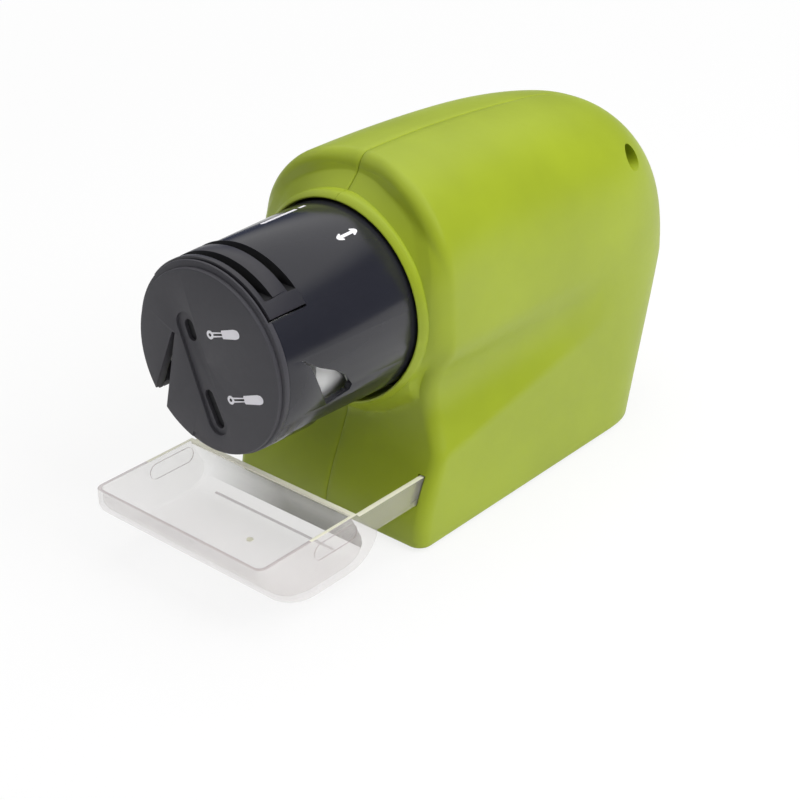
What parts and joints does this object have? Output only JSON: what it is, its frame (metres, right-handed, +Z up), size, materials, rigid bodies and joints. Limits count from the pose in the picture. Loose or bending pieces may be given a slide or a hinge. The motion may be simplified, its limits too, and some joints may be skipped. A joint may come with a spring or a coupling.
{
  "type": "electric knife sharpener",
  "caption": "Cordless electric knife sharpener with a rounded green casing, a dark round guide head with blade slots, and a clear pull-out filings tray.",
  "frame": {"origin": "on the table, under the middle of the whole with the tray pulled out", "axes": "+Z up, -Y toward the round face of the head, +X to the right flank with the casing screw"},
  "size_m": [0.0598, 0.1579, 0.0865],
  "materials": {
    "casing_green": "satin moulded plastic",
    "foot_rubber": "matte",
    "black_plastic": "matte",
    "cell_wrap": "printed film over steel",
    "bright_steel": "plated",
    "magnet_grey": "matte",
    "bush_bronze": "sintered",
    "copper": "bright copper",
    "pale_plastic": "matte",
    "wheel_stone": "fine bonded grit",
    "head_grey": "satin moulded plastic",
    "lead_red": "insulation",
    "lead_black": "insulation",
    "tray_clear": "clear moulded plastic"
  },
  "bodies": {
    "casing": {"right_shell": "casing_green", "left_shell": "casing_green", "base_plate": "casing_green", "rubber_feet": "foot_rubber", "battery_box": "black_plastic", "battery_cells": "cell_wrap", "battery_springs": "bright_steel", "contact_plates": "bright_steel", "motor_mount": "black_plastic", "motor_can": "bright_steel", "motor_end_cap": "black_plastic", "motor_magnets": "magnet_grey", "front_bush": "bush_bronze", "rear_bush": "bush_bronze", "brushes": "copper", "motor_terminals": "bright_steel", "motor_screws": "bright_steel", "switch_body": "black_plastic", "button_spring": "bright_steel", "red_leads": "lead_red", "black_lead": "lead_black", "case_screw": "bright_steel", "base_screws": "bright_steel"},
    "rotor": {"motor_shaft": "bright_steel", "armature_core": "magnet_grey", "armature_windings": "copper", "commutator": "copper", "wheel_carrier": "pale_plastic", "grinding_wheel": "wheel_stone", "wheel_screw": "bright_steel"},
    "head": {"head_barrel": "head_grey", "face_plate": "head_grey", "knife_guide": "head_grey"},
    "tray": {"filings_tray": "tray_clear"},
    "button": {"power_button": "head_grey"},
    "plunger": {"switch_plunger": "pale_plastic"},
    "door": {"battery_door": "casing_green"}
  },
  "joints": [
    {"name": "wheel_spin", "type": "hinge", "parent": "casing", "child": "rotor", "pos_m": [0, 0, 0.0537], "axis": [0, 1, 0], "continuous": true},
    {"name": "head_pull", "type": "slide", "parent": "casing", "child": "head", "axis": [0, -1, 0], "range_m": [0, 0.045]},
    {"name": "tray_slide", "type": "slide", "parent": "casing", "child": "tray", "axis": [0, 1, 0], "range_m": [0, 0.0125]},
    {"name": "button_push", "type": "slide", "parent": "casing", "child": "button", "axis": [1, 0, 0], "range_m": [0, 0.0015], "stiffness_N_per_m": 900, "springref_m": -0.0015, "deforming": ["button_spring"]},
    {"name": "plunger_push", "type": "slide", "parent": "casing", "child": "plunger", "axis": [1, 0, 0], "range_m": [0, 0.0015]},
    {"name": "battery_door_slide", "type": "slide", "parent": "casing", "child": "door", "axis": [0, 1, 0], "range_m": [0, 0.058]}
  ],
  "couplings": [
    {"joint": "plunger_push", "follows": "button_push", "ratio": 1}
  ]
}
